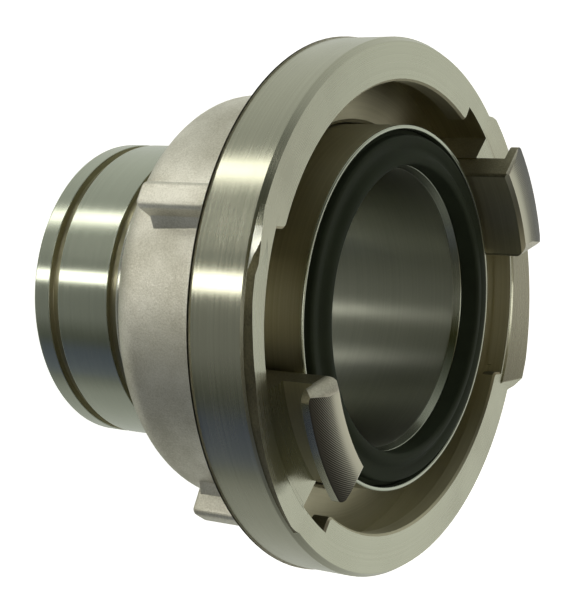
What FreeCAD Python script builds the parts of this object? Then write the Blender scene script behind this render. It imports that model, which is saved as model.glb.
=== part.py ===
"""Swivel claw coupling for a 3 inch hose, made of four stainless and rubber pieces.

All sizes are in millimetres. The axis is +Z: the hose tail stands on z = 0 and the claws
point up. Angles are counted anticlockwise from +X, seen from the claw side.
"""
import FreeCAD, Part
import math
import os

V = FreeCAD.Vector

# Claw distance: the size that two like couplings share, from which every radius follows
CLAW_R = 44.6

# Hose tail, turned from bar: spigot at the back, thick collar at the front
CLAW_GAP = 1.75
COLLAR_STEP = 5.85
TAIL_WALL = 4.1
TAIL_EDGE = 0.5
HOSE_GROOVE_Z = 4.8
HOSE_GROOVE_W = 2.8
HOSE_GROOVE_DEPTH = 1.7
RING_GROOVE_Z = 22.9
RING_GROOVE_W = 5.5
RING_GROOVE_DEPTH = 1.4
COLLAR_PROUD = 0.45
COLLAR_EDGE = 0.45
BORE_LIP_STEP = 0.9
BORE_LIP_DROP = 2.8
BORE_LIP_BEVEL = 2.0

# Seal seat in the front of the collar
SEAT_WALL = 1.0
SEAT_UNDERCUT = 0.3
SEAT_UNDERCUT_H = 2.2
SEAT_DEPTH = 6.0
SEAT_INNER_WALL = 1.8

# Black rubber lip seal
SEAL_PLAY = 0.1
SEAL_BORE_STEP = 0.8
SEAL_PROUD = 2.0
SEAL_LIP_DROP = 0.57
BEAD_STEP = 1.35
BEAD_W = 3.3
BEAD_PROUD = 1.0
VALLEY_PROUD = 0.6

# Round wire ring that keeps the lug ring on the tail
WIRE_D = 2.4
WIRE_PLAY = 0.1
WIRE_GAP_DEG = 8.0

# Running clearances between the tail and the lug ring
SWIVEL_PLAY = 0.05
SHOULDER_PLAY = 0.3
COLLAR_PLAY = 0.5

# Lug ring, investment cast, then turned: bell, flange and recess
NECK_WALL = 1.9
NECK_LENGTH = 9.1
NECK_EDGE = 0.6
CONE_LENGTH = 6.1
SHOULDER_WALL = 3.45
BULGE = 2.9
BULGE_LENGTH = 6.4
BULGE_MID_OUT = 2.1
BULGE_MID_UP = 2.7
BELL_LENGTH = 16.0
BELL_TAPER = 0.6
FLARE_LENGTH = 9.3
FLANGE_WALL = 6.0
FLANGE_W = 15.25
FLANGE_BACK_INSET = 1.4
CAST_RIM_STEP = 0.3
CAST_RIM_W = 0.8
CAST_RIM_EDGE = 0.3
FACE_BEVEL_R = 0.95
FACE_BEVEL_H = 1.5
RECESS_DEPTH = 14.05
RECESS_MOUTH_BEVEL = 0.8

# Claws: an upright stem with an outward hook
CLAW_COUNT = 2
CLAW_START_DEG = 13.2
CLAW_DEG = 30.7
STEM_W = 5.9
HOOK_REACH = 5.3
HOOK_PLAY = 1.2
HOOK_CLEAR = 7.55
HOOK_H = 2.9
HOOK_EDGE_H = 1.9
LEAD_IN_W = 8.0
CLAW_INNER_BEVEL = 0.9
CLAW_INNER_CORNER_R = 1.0
CLAW_START_CORNER_R = 3.0
CLAW_END_CORNER_R = 2.0
CLAW_START_ROUND = 3.5
CLAW_END_ROUND = 0.8
BASE_SINK = 0.5
BASE_BLEND_DEG = 0.6

# Front lips, the openings between them and the notches beside the claws
LIP_GAP = 2.4
LIP_THICKNESS = 4.6
LIP_RAMP = 1.2
LIP_EDGE = 0.5
LIP_CORNER_R = 1.6
LIP_DEG = 101.3
LIP_END_LEAN_DEG = 3.0
NOTCH_DEG = 12.1
OPENING_PLAY = 0.7

# Raised ears of the rim, one beside each opening and claw: highest at the opening's far end
EAR_OVERHANG = 0.5
EAR_START_HEIGHT = 2.9
EAR_END_HEIGHT = 0.65
EAR_START_RUN = 7.8
EAR_END_RUN = 3.9
EAR_FOOT = 0.9
EAR_FOOT_END = 0.2
EAR_BEVEL_Z = 0.55
EAR_BEVEL_DEG = 39.0
EAR_DEG = 71.6
EAR_PAST_DEG = 3.1

# Ribs for the coupling wrench
RIB_COUNT = 4
RIB_FIRST_DEG = 61.6
RIB_INSET = 6.0
RIB_W = 6.6
RIB_START = 1.5
RIB_ROUND = 1.6
RIB_ROOT = 3.0
RIB_FOOT_W = 2.2
RIB_FOOT_H = 2.4
RIB_FOOT_SINK = 0.4

# How far a joining or cutting block runs past the face that it meets
OVERLAP = 1.0
OVERLAP_DEG = 1.0

# How near to a radius an edge counts as lying on it
ON_EDGE = 0.2

# Radii that follow, from the claws inwards
COLLAR_R = CLAW_R - CLAW_GAP
TAIL_R = COLLAR_R - COLLAR_STEP
BORE_R = TAIL_R - TAIL_WALL
BORE_LIP_R = BORE_R + BORE_LIP_STEP
SEAT_R = COLLAR_R - SEAT_WALL
SEAT_INNER_R = BORE_LIP_R + SEAT_INNER_WALL
SEAL_BORE_R = BORE_R + SEAL_BORE_STEP
BEAD_OUTER_R = SEAT_R - BEAD_STEP
VALLEY_R = BEAD_OUTER_R - BEAD_W
WIRE_R = WIRE_D / 2
GROOVE_FLOOR_R = TAIL_R - RING_GROOVE_DEPTH
WIRE_CENTRE_R = GROOVE_FLOOR_R + WIRE_PLAY + WIRE_R
SWIVEL_R = TAIL_R + SWIVEL_PLAY
NECK_R = SWIVEL_R + NECK_WALL

# Radii that follow, from the claws outwards
COUNTERBORE_R = COLLAR_R + COLLAR_PLAY
SHOULDER_R = COUNTERBORE_R + SHOULDER_WALL
BELL_R = SHOULDER_R + BULGE
BELL_FRONT_R = BELL_R + BELL_TAPER
STEM_R = CLAW_R + STEM_W
LIP_R = STEM_R + LIP_GAP
HOOK_R = STEM_R + HOOK_REACH
HOOK_LAND_R = HOOK_R - LEAD_IN_W
OPENING_R = HOOK_R + OPENING_PLAY
RECESS_R = HOOK_R + HOOK_PLAY
FLANGE_R = RECESS_R + FLANGE_WALL
FLANGE_BACK_R = FLANGE_R - FLANGE_BACK_INSET
CAST_RIM_R = FLANGE_R + CAST_RIM_STEP
FACE_R = FLANGE_R - FACE_BEVEL_R
EAR_OUTER_R = FLANGE_R + EAR_OVERHANG
RIB_R = FLANGE_R - RIB_INSET

# Heights that follow, from the tail's end upwards
RING_GROOVE_END_Z = RING_GROOVE_Z + RING_GROOVE_W
WIRE_CENTRE_Z = RING_GROOVE_END_Z - WIRE_PLAY - WIRE_R
NECK_Z = RING_GROOVE_END_Z + WIRE_PLAY
NECK_TOP_Z = NECK_Z + NECK_LENGTH
COLLAR_Z = NECK_TOP_Z + SHOULDER_PLAY
SHOULDER_Z = NECK_Z + CONE_LENGTH
BELL_START_Z = SHOULDER_Z + BULGE_LENGTH
BELL_END_Z = BELL_START_Z + BELL_LENGTH
FLANGE_BACK_Z = BELL_END_Z + FLARE_LENGTH
TURNED_START_Z = FLANGE_BACK_Z + CAST_RIM_W
FACE_Z = FLANGE_BACK_Z + FLANGE_W
BEVEL_Z = FACE_Z - FACE_BEVEL_H
LIP_UNDER_Z = FACE_Z - LIP_THICKNESS
RECESS_FLOOR_Z = FACE_Z - RECESS_DEPTH
RIB_BACK_Z = BELL_START_Z + RIB_START
HOOK_UNDER_Z = FACE_Z + HOOK_CLEAR
CLAW_TOP_Z = HOOK_UNDER_Z + HOOK_H
COLLAR_TOP_Z = FACE_Z + COLLAR_PROUD
BORE_LIP_Z = COLLAR_TOP_Z - BORE_LIP_DROP
SEAT_FLOOR_Z = COLLAR_TOP_Z - SEAT_DEPTH
SEAT_UNDERCUT_TOP_Z = SEAT_FLOOR_Z + SEAT_UNDERCUT_H
SEAL_TOP_Z = COLLAR_TOP_Z + SEAL_PROUD
BEAD_TOP_Z = COLLAR_TOP_Z + BEAD_PROUD
VALLEY_Z = COLLAR_TOP_Z + VALLEY_PROUD

# Angles that follow
CLAW_STEP_DEG = 360.0 / CLAW_COUNT
CLAW_END_DEG = CLAW_START_DEG + CLAW_DEG
LIP_START_DEG = CLAW_END_DEG + NOTCH_DEG
LIP_END_DEG = LIP_START_DEG + LIP_DEG
EAR_END_DEG = CLAW_END_DEG + EAR_PAST_DEG
EAR_START_DEG = EAR_END_DEG - EAR_DEG


def point(r, z):
    """A point of the half section, on the plane through the axis and +X."""
    return V(r, 0, z)


def half_section(edges):
    """The face that a closed row of edges bounds."""
    return Part.Face(Part.Wire(edges))


def outline(points):
    """Edges of a closed half section given by its corners."""
    corners = [point(r, z) for r, z in points]
    corners.append(corners[0])
    return [Part.LineSegment(a, b).toShape() for a, b in zip(corners, corners[1:])]


def revolved(face, start_deg=0.0, end_deg=360.0):
    """A half section turned about the axis from one angle to the other."""
    turned = face.copy()
    turned.rotate(V(0, 0, 0), V(0, 0, 1), start_deg)
    return turned.revolve(V(0, 0, 0), V(0, 0, 1), end_deg - start_deg)


def sector(r_in, r_out, z_low, z_high, start_deg, end_deg):
    """A block bent round the axis, with flat radial ends."""
    corners = [(r_in, z_low), (r_out, z_low), (r_out, z_high), (r_in, z_high)]
    return revolved(half_section(outline(corners)), start_deg, end_deg)


def around(shape, count, step_deg, first_deg=0.0):
    """Copies of one shape, turned about the axis."""
    copies = []
    for index in range(count):
        copy = shape.copy()
        copy.rotate(V(0, 0, 0), V(0, 0, 1), first_deg + index * step_deg)
        copies.append(copy)
    return copies


def hose_tail():
    """Spigot with two grooves, through bore, and the collar that carries the seal."""
    groove_end = HOSE_GROOVE_Z + HOSE_GROOVE_W
    groove_r = TAIL_R - HOSE_GROOVE_DEPTH
    ring_r = GROOVE_FLOOR_R
    seat_wall_r = SEAT_R + SEAT_UNDERCUT
    undercut_end = SEAT_UNDERCUT_TOP_Z + SEAT_UNDERCUT
    corners = [
        (BORE_R, TAIL_EDGE),
        (BORE_R + TAIL_EDGE, 0),
        (TAIL_R - TAIL_EDGE, 0),
        (TAIL_R, TAIL_EDGE),
        (TAIL_R, HOSE_GROOVE_Z),
        (groove_r, HOSE_GROOVE_Z),
        (groove_r, groove_end),
        (TAIL_R, groove_end),
        (TAIL_R, RING_GROOVE_Z),
        (ring_r, RING_GROOVE_Z),
        (ring_r, RING_GROOVE_END_Z),
        (TAIL_R, RING_GROOVE_END_Z),
        (TAIL_R, COLLAR_Z),
        (COLLAR_R, COLLAR_Z),
        (COLLAR_R, COLLAR_TOP_Z - COLLAR_EDGE),
        (COLLAR_R - COLLAR_EDGE, COLLAR_TOP_Z),
        (SEAT_R, COLLAR_TOP_Z),
        (SEAT_R, undercut_end),
        (seat_wall_r, SEAT_UNDERCUT_TOP_Z),
        (seat_wall_r, SEAT_FLOOR_Z),
        (SEAT_INNER_R, SEAT_FLOOR_Z),
        (SEAT_INNER_R, BORE_LIP_Z),
        (BORE_LIP_R, BORE_LIP_Z),
        (BORE_R, BORE_LIP_Z - BORE_LIP_BEVEL),
    ]
    return revolved(half_section(outline(corners)))


def seal():
    """Rubber ring with a foot in the undercut, an outer bead and a higher inner lip."""
    foot_wall_r = SEAT_R + SEAT_UNDERCUT - SEAL_PLAY
    head_wall_r = SEAT_R - SEAL_PLAY
    foot_top = SEAT_UNDERCUT_TOP_Z
    foot_z = SEAT_FLOOR_Z + SEAL_PLAY
    step_z = BORE_LIP_Z + SEAL_PLAY
    step_r = SEAT_INNER_R + SEAL_PLAY
    shoulder_z = foot_top + SEAT_UNDERCUT
    bead_foot_z = (shoulder_z + BEAD_TOP_Z) / 2
    bead_r = (BEAD_OUTER_R + VALLEY_R) / 2
    lip_r = (SEAL_BORE_R + VALLEY_R) / 2
    lip_edge_z = SEAL_TOP_Z - SEAL_LIP_DROP
    foot = [
        (SEAL_BORE_R, lip_edge_z),
        (SEAL_BORE_R, step_z),
        (step_r, step_z),
        (step_r, foot_z),
        (foot_wall_r, foot_z),
        (foot_wall_r, foot_top - SEAL_PLAY),
        (head_wall_r, shoulder_z - SEAL_PLAY),
        (head_wall_r, bead_foot_z - (head_wall_r - BEAD_OUTER_R)),
        (BEAD_OUTER_R, bead_foot_z),
    ]
    corners = [point(r, z) for r, z in foot]
    edges = [Part.LineSegment(a, b).toShape() for a, b in zip(corners, corners[1:])]
    valley = point(VALLEY_R, VALLEY_Z)
    edges.append(Part.Arc(corners[-1], point(bead_r, BEAD_TOP_Z), valley).toShape())
    edges.append(Part.Arc(valley, point(lip_r, SEAL_TOP_Z), corners[0]).toShape())
    return revolved(half_section(edges))


def retaining_ring():
    """Open ring of round wire, lying in the groove behind the lug ring."""
    circle = Part.Circle(point(WIRE_CENTRE_R, WIRE_CENTRE_Z), V(0, 1, 0), WIRE_R)
    wire_face = half_section([circle.toShape()])
    return revolved(wire_face, WIRE_GAP_DEG / 2, 360.0 - WIRE_GAP_DEG / 2)


def bell_and_flange():
    """The turned and cast body without claws, ears, ribs and openings."""
    bulge_mid = point(SHOULDER_R + BULGE_MID_OUT, SHOULDER_Z + BULGE_MID_UP)
    before = [
        (SWIVEL_R, NECK_TOP_Z),
        (SWIVEL_R, NECK_Z),
        (NECK_R - NECK_EDGE, NECK_Z),
        (NECK_R, NECK_Z + NECK_EDGE),
        (SHOULDER_R, SHOULDER_Z),
    ]
    after = [
        (BELL_R, BELL_START_Z),
        (BELL_FRONT_R, BELL_END_Z),
        (FLANGE_BACK_R, FLANGE_BACK_Z - CAST_RIM_EDGE),
        (CAST_RIM_R - CAST_RIM_EDGE, FLANGE_BACK_Z),
        (CAST_RIM_R, FLANGE_BACK_Z + CAST_RIM_EDGE),
        (CAST_RIM_R, TURNED_START_Z),
        (FLANGE_R, TURNED_START_Z),
        (FLANGE_R, BEVEL_Z),
        (FACE_R, FACE_Z),
        (LIP_R, FACE_Z),
        (LIP_R, LIP_UNDER_Z),
        (RECESS_R, LIP_UNDER_Z),
        (RECESS_R, RECESS_FLOOR_Z),
        (COUNTERBORE_R + RECESS_MOUTH_BEVEL, RECESS_FLOOR_Z),
        (COUNTERBORE_R, RECESS_FLOOR_Z - RECESS_MOUTH_BEVEL),
        (COUNTERBORE_R, NECK_TOP_Z),
        (SWIVEL_R, NECK_TOP_Z),
    ]
    first = [point(r, z) for r, z in before]
    last = [point(r, z) for r, z in after]
    edges = [Part.LineSegment(a, b).toShape() for a, b in zip(first, first[1:])]
    edges.append(Part.Arc(first[-1], bulge_mid, last[0]).toShape())
    edges += [Part.LineSegment(a, b).toShape() for a, b in zip(last, last[1:])]
    return revolved(half_section(edges))


def uprights(shape, radius, deg):
    """Upright edges of a shape that stand at one place of the plan."""
    corner = V(radius, 0, 0)
    corner = FreeCAD.Rotation(V(0, 0, 1), deg).multVec(corner)
    found = []
    for edge in shape.Edges:
        ends = [vertex.Point for vertex in edge.Vertexes]
        off = max(math.hypot(end.x - corner.x, end.y - corner.y) for end in ends)
        if off < ON_EDGE and edge.BoundBox.ZLength > ON_EDGE:
            found.append(edge)
    return found


def off_edge(radius):
    """What a rounded front edge leaves out, for a claw whose end wall lies on the XZ plane."""
    side = radius + OVERLAP
    start = V(CLAW_R - OVERLAP, -OVERLAP, CLAW_TOP_Z - radius)
    length = HOOK_R - CLAW_R + OVERLAP + OVERLAP
    block = Part.makeBox(length, side, side, start)
    centre = V(start.x, radius, start.z)
    return block.cut(Part.makeCylinder(radius, length, centre, V(1, 0, 0)))


def claw():
    """One claw with its hook and the block that carries it, at its place near +X."""
    root_z = RECESS_FLOOR_Z - OVERLAP
    edge_z = HOOK_UNDER_Z + HOOK_EDGE_H
    drop = CLAW_TOP_Z - edge_z
    arc_r = (LEAD_IN_W * LEAD_IN_W + drop * drop) / (2 * drop)
    half_angle = math.asin(LEAD_IN_W / arc_r) / 2
    mid_r = HOOK_LAND_R + arc_r * math.sin(half_angle)
    mid_z = CLAW_TOP_Z - arc_r * (1 - math.cos(half_angle))
    corners = [
        (HOOK_LAND_R, CLAW_TOP_Z),
        (CLAW_R + CLAW_INNER_BEVEL, CLAW_TOP_Z),
        (CLAW_R, CLAW_TOP_Z - CLAW_INNER_BEVEL),
        (CLAW_R, root_z),
        (STEM_R, root_z),
        (STEM_R, HOOK_UNDER_Z),
        (HOOK_R, HOOK_UNDER_Z),
        (HOOK_R, edge_z),
    ]
    points = [point(r, z) for r, z in corners]
    edges = [Part.LineSegment(a, b).toShape() for a, b in zip(points, points[1:])]
    edges.append(Part.Arc(points[-1], point(mid_r, mid_z), points[0]).toShape())
    hooked = revolved(half_section(edges), CLAW_START_DEG, CLAW_END_DEG)
    for radius, deg, corner_r in (
        (CLAW_R, CLAW_START_DEG, CLAW_INNER_CORNER_R),
        (CLAW_R, CLAW_END_DEG, CLAW_INNER_CORNER_R),
        (HOOK_R, CLAW_START_DEG, CLAW_START_CORNER_R),
        (HOOK_R, CLAW_END_DEG, CLAW_END_CORNER_R),
    ):
        hooked = hooked.makeFillet(corner_r, uprights(hooked, radius, deg))
    start = off_edge(CLAW_START_ROUND)
    start.rotate(V(0, 0, 0), V(0, 0, 1), CLAW_START_DEG)
    end = off_edge(CLAW_END_ROUND).mirror(V(0, 0, 0), V(0, 1, 0))
    end.rotate(V(0, 0, 0), V(0, 0, 1), CLAW_END_DEG)
    hooked = hooked.cut([start, end])
    base_end = CLAW_END_DEG + BASE_BLEND_DEG
    base_r = STEM_R - BASE_SINK
    base = sector(base_r, RECESS_R + OVERLAP, root_z, FACE_Z, CLAW_START_DEG, base_end)
    return hooked.fuse(base)


def ear():
    """One raised wedge of the rim, rounded down at its high end and running out at its low end."""
    foot_z = FACE_Z - EAR_FOOT
    foot_end_z = FACE_Z - EAR_FOOT_END
    bevel_z = FACE_Z + EAR_BEVEL_Z
    high_z = FACE_Z + EAR_START_HEIGHT
    low_z = FACE_Z + EAR_END_HEIGHT
    bevel_w = (high_z - bevel_z) / math.tan(math.radians(EAR_BEVEL_DEG))
    corners = [
        (OPENING_R, foot_z),
        (EAR_OUTER_R, foot_z),
        (EAR_OUTER_R, high_z),
        (OPENING_R + bevel_w, high_z),
        (OPENING_R, bevel_z),
    ]
    rim = revolved(half_section(outline(corners)), EAR_START_DEG, EAR_END_DEG)
    notch = sector(CLAW_R, RECESS_R, foot_z, high_z, CLAW_END_DEG, EAR_END_DEG + OVERLAP_DEG)
    half_span = math.radians((EAR_END_DEG - EAR_START_DEG) / 2)
    end_t = EAR_OUTER_R * math.sin(half_span)
    high_t = EAR_START_RUN - end_t
    low_t = end_t - EAR_END_RUN
    near = OPENING_R * math.cos(half_span) - OVERLAP

    def at(t, z):
        return V(near, t, z)

    def run_down(top_t, top_z, foot_t):
        """An arc that leaves the top level and meets the face, with its middle point."""
        run = foot_t - top_t
        drop = top_z - FACE_Z
        radius = (run * run + drop * drop) / (2 * drop)
        half_angle = math.asin(run / radius) / 2
        middle = at(top_t + radius * math.sin(half_angle), top_z - radius * (1 - math.cos(half_angle)))
        return Part.Arc(at(top_t, top_z), middle, at(foot_t, FACE_Z)).toShape()

    rows = [
        Part.LineSegment(at(-end_t, FACE_Z), at(-end_t, foot_end_z)).toShape(),
        Part.LineSegment(at(-end_t, foot_end_z), at(high_t, foot_z)).toShape(),
        Part.LineSegment(at(high_t, foot_z), at(low_t, foot_z)).toShape(),
        Part.LineSegment(at(low_t, foot_z), at(end_t, foot_end_z)).toShape(),
        Part.LineSegment(at(end_t, foot_end_z), at(end_t, FACE_Z)).toShape(),
        run_down(low_t, low_z, end_t),
        Part.LineSegment(at(low_t, low_z), at(high_t, high_z)).toShape(),
        run_down(high_t, high_z, -end_t),
    ]
    prism = half_section(rows).extrude(V(EAR_OUTER_R + OVERLAP - near, 0, 0))
    prism.rotate(V(0, 0, 0), V(0, 0, 1), (EAR_START_DEG + EAR_END_DEG) / 2)
    return rim.common(prism).cut(notch)


def lip_ramp():
    """The wedge taken from under one lip, so that a twist draws the couplings together."""
    low_z = LIP_UNDER_Z - OVERLAP
    high_z = LIP_UNDER_Z + LIP_RAMP
    inner_r = LIP_R - OVERLAP
    start_deg = LIP_START_DEG - OVERLAP_DEG
    end_deg = LIP_END_DEG + LIP_END_LEAN_DEG
    under = sector(inner_r, RECESS_R, low_z, high_z, start_deg, end_deg)
    half_span = math.radians(LIP_DEG / 2 + LIP_END_LEAN_DEG)
    near = inner_r * math.cos(half_span) - OVERLAP
    end_t = RECESS_R * math.sin(half_span) + OVERLAP
    corners = [
        V(near, -end_t, low_z),
        V(near, end_t, low_z),
        V(near, end_t, high_z),
        V(near, -end_t, LIP_UNDER_Z),
        V(near, -end_t, low_z),
    ]
    wedge = Part.Face(Part.makePolygon(corners)).extrude(V(RECESS_R + OVERLAP - near, 0, 0))
    wedge.rotate(V(0, 0, 0), V(0, 0, 1), (LIP_START_DEG + LIP_END_DEG) / 2)
    return under.common(wedge)


def rib():
    """One wrench rib along the bell, near +X, with a wider foot."""
    root_r = BELL_R - RIB_ROOT
    length = FLANGE_BACK_Z - RIB_BACK_Z
    body = Part.makeBox(RIB_R - root_r, RIB_W, length, V(root_r, -RIB_W / 2, RIB_BACK_Z))
    rounded = []
    for edge in body.Edges:
        box = edge.BoundBox
        outer = box.XMin > RIB_R - ON_EDGE and box.ZMin < FLANGE_BACK_Z - ON_EDGE
        rear = box.ZMax < RIB_BACK_Z + ON_EDGE and box.YLength < ON_EDGE
        if outer or rear:
            rounded.append(edge)
    body = body.makeFillet(RIB_ROUND, rounded)
    foot_r = BELL_R + RIB_FOOT_H
    sunk_r = BELL_R - RIB_FOOT_SINK
    half_w = RIB_W / 2 + RIB_FOOT_W
    foot_z = RIB_BACK_Z + RIB_ROUND
    corners = [
        V(root_r, -half_w, foot_z),
        V(sunk_r, -half_w, foot_z),
        V(foot_r, -RIB_W / 2, foot_z),
        V(foot_r, RIB_W / 2, foot_z),
        V(sunk_r, half_w, foot_z),
        V(root_r, half_w, foot_z),
    ]
    corners.append(corners[0])
    foot = Part.Face(Part.makePolygon(corners)).extrude(V(0, 0, FLANGE_BACK_Z - foot_z))
    return body.fuse(foot)


def opening():
    """The gap that the other claw enters, with one straight side along its centre line."""
    below = LIP_UNDER_Z - OVERLAP
    above = FACE_Z + OVERLAP
    lip_end_deg = LIP_END_DEG - CLAW_STEP_DEG
    half_span = (CLAW_START_DEG - lip_end_deg) / 2
    middle_deg = lip_end_deg + half_span
    side = LIP_R * math.sin(math.radians(half_span))
    start_deg = lip_end_deg - half_span
    gap = sector(CLAW_R, OPENING_R, below, above, start_deg, CLAW_START_DEG + OVERLAP_DEG)
    beside = Part.makeBox(OPENING_R, OPENING_R, above - below, V(0, -side - OPENING_R, below))
    beside.rotate(V(0, 0, 0), V(0, 0, 1), middle_deg)
    return gap.cut(beside)


def lips_finished(shape):
    """The lips with rounded corners and a bevel along their inner edge."""
    corners = []
    for index in range(CLAW_COUNT):
        turned = index * CLAW_STEP_DEG
        corners += uprights(shape, LIP_R, LIP_START_DEG + turned)
        corners += uprights(shape, LIP_R, LIP_END_DEG + turned)
    shape = shape.makeFillet(LIP_CORNER_R, corners)
    inner = []
    for edge in shape.Edges:
        ends = [vertex.Point for vertex in edge.Vertexes]
        reach = max(math.hypot(end.x, end.y) for end in ends)
        if edge.BoundBox.ZMin > FACE_Z - ON_EDGE and abs(reach - LIP_R) < ON_EDGE:
            inner.append(edge)
    return shape.makeChamfer(LIP_EDGE, inner)


def lug_ring():
    """Bell, flange, recess, lips, claws, ears and wrench ribs as one casting."""
    shape = bell_and_flange()
    below = LIP_UNDER_Z - OVERLAP
    above = FACE_Z + OVERLAP
    notch = sector(CLAW_R, RECESS_R, below, above, CLAW_END_DEG, LIP_START_DEG)
    for gap in (lip_ramp(), opening(), notch):
        shape = shape.cut(around(gap, CLAW_COUNT, CLAW_STEP_DEG))
    shape = lips_finished(shape)
    ribs = around(rib(), RIB_COUNT, 360.0 / RIB_COUNT, RIB_FIRST_DEG)
    claws = around(claw(), CLAW_COUNT, CLAW_STEP_DEG)
    ears = around(ear(), CLAW_COUNT, CLAW_STEP_DEG)
    shape = shape.fuse(claws + ears + ribs)
    inside = Part.makeCylinder(COUNTERBORE_R, RECESS_FLOOR_Z - NECK_TOP_Z, V(0, 0, NECK_TOP_Z))
    return shape.cut(inside).removeSplitter()


def write(name, shape):
    """Save one piece, after making sure that it is one closed solid."""
    solid = shape.Solids[0] if len(shape.Solids) == 1 else shape
    print(name, "solids", len(shape.Solids), "valid", shape.isValid(), "cm3", round(shape.Volume / 1000, 2))
    solid.exportStep("parts/" + name + ".step")


os.makedirs("parts", exist_ok=True)
write("hose_tail", hose_tail())
write("seal", seal())
write("retaining_ring", retaining_ring())
write("lug_ring", lug_ring())
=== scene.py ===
import math

import bpy
import numpy as np
from mathutils import Matrix, Vector


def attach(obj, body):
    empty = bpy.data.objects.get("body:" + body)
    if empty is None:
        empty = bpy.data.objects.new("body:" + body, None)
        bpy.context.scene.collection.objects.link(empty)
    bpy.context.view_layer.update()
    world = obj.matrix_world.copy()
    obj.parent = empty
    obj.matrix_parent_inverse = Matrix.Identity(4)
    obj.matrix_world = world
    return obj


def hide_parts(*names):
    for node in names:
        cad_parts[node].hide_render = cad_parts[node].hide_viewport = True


# The part as packed: four solids that stand on the floor with the claws up
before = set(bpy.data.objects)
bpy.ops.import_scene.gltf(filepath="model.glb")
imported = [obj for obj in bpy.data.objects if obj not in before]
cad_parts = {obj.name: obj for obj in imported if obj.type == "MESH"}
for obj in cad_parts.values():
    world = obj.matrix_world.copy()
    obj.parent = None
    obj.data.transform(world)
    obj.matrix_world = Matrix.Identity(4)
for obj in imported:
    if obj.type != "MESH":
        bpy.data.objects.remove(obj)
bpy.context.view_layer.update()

MM = 0.001


# Camera
# A long lens above the claw side, rolled so that the coupling's axis lies across the picture.
PICTURE_HEIGHT = 600
FOCAL_PIXELS = 1688.7
SENSOR_MM = 36.0
CAMERA_PLACE = Vector((-0.3414, 0.0396, 0.2787))
CAMERA_FORWARD = Vector((0.8249, -0.0961, -0.5570)).normalized()
CAMERA_RIGHT = Vector((0.5606, 0.0135, 0.8279))

camera_up = CAMERA_RIGHT.cross(CAMERA_FORWARD).normalized()
camera_right = CAMERA_FORWARD.cross(camera_up)
camera_turn = Matrix((camera_right, camera_up, -CAMERA_FORWARD)).transposed().to_4x4()
camera = bpy.data.objects.new("camera", bpy.data.cameras.new("camera"))
camera.data.sensor_width = SENSOR_MM
camera.data.lens = FOCAL_PIXELS * SENSOR_MM / PICTURE_HEIGHT
camera.matrix_world = Matrix.Translation(CAMERA_PLACE) @ camera_turn
bpy.context.collection.objects.link(camera)
bpy.context.scene.camera = camera
bpy.context.scene.view_settings.view_transform = "Standard"


# Floor and surroundings
# A plain pale floor under a plain pale room, both white to the camera. The metal mirrors a quieter
# room, graded and with soft patches, so that polished steel keeps its tone.
FLOOR_HALF = 3.0
FLOOR_COLOUR = "#F8F8F6"
FLOOR_GLOW = 1.0
ROOM_COLOUR = "#F0F3EC"
ROOM_SEEN = "#FFFFFF"
ROOM_DARK = 0.05
ROOM_BRIGHT = 0.8
ROOM_TOP = 0.1
TOP_START = 0.58
TOP_END = 0.72
BRIGHT_WAY = Vector((0.84, 0.32, -0.44))

# Soft patches of the room: name, direction and height of the middle, the angles within which it is
# full and beyond which it is gone, what it adds, and its colour
PATCHES = [
    ("ceiling_glow", 180.0, 64.0, 5.0, 42.0, 0.42, "#EFE6C8"),
    ("ceiling_lamp", 180.0, 60.0, 6.0, 15.0, 2.0, "#FFFFFF"),
    ("far_wall", -13.0, 27.0, 5.0, 24.0, 0.25, "#FFFFFF"),
    ("far_ceiling", -10.0, 56.0, 10.0, 26.0, 0.42, "#FFF6EE"),
    ("dark_ground", -12.0, -62.0, 10.0, 28.0, -0.36, "#FFFFFF"),
    ("dark_doorway", -128.0, -35.0, 8.0, 28.0, -0.18, "#FFFFFF"),
    ("dark_shelf", 138.0, 17.0, 18.0, 48.0, -0.15, "#FFFFFF"),
]


def direction(azimuth, rise):
    """The unit vector at an azimuth from +X and a height over the horizon, both in degrees."""
    turn, lift = math.radians(azimuth), math.radians(rise)
    return Vector((math.cos(turn) * math.cos(lift), math.sin(turn) * math.cos(lift), math.sin(lift)))


def linear(colour):
    """A hex sRGB colour as linear red, green, blue and alpha."""
    shown = np.array([int(colour[i:i + 2], 16) for i in (1, 3, 5)]) / 255
    light = np.where(shown <= 0.04045, shown / 12.92, ((shown + 0.055) / 1.055) ** 2.4)
    return (*light.tolist(), 1.0)


def add(tree, kind, sockets=None, **settings):
    """Adds one node. A socket given a socket is linked to it, and one given a value is set to it."""
    made = tree.nodes.new(kind)
    for name, value in settings.items():
        setattr(made, name, value)
    for name, value in (sockets or {}).items():
        if isinstance(value, bpy.types.NodeSocket):
            tree.links.new(value, made.inputs[name])
        else:
            made.inputs[name].default_value = value
    return made


def blank_material(name):
    """A material whose node tree is empty, and that tree."""
    material = bpy.data.materials.new(name)
    material.use_nodes = True
    material.node_tree.nodes.clear()
    return material, material.node_tree


def mesh_object(name, points, faces):
    """A mesh object at the origin, from rows of points and lists of corner numbers."""
    mesh = bpy.data.meshes.new(name)
    mesh.from_pydata(points.tolist(), [], faces)
    piece = bpy.data.objects.new(name, mesh)
    bpy.context.collection.objects.link(piece)
    return piece


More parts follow.
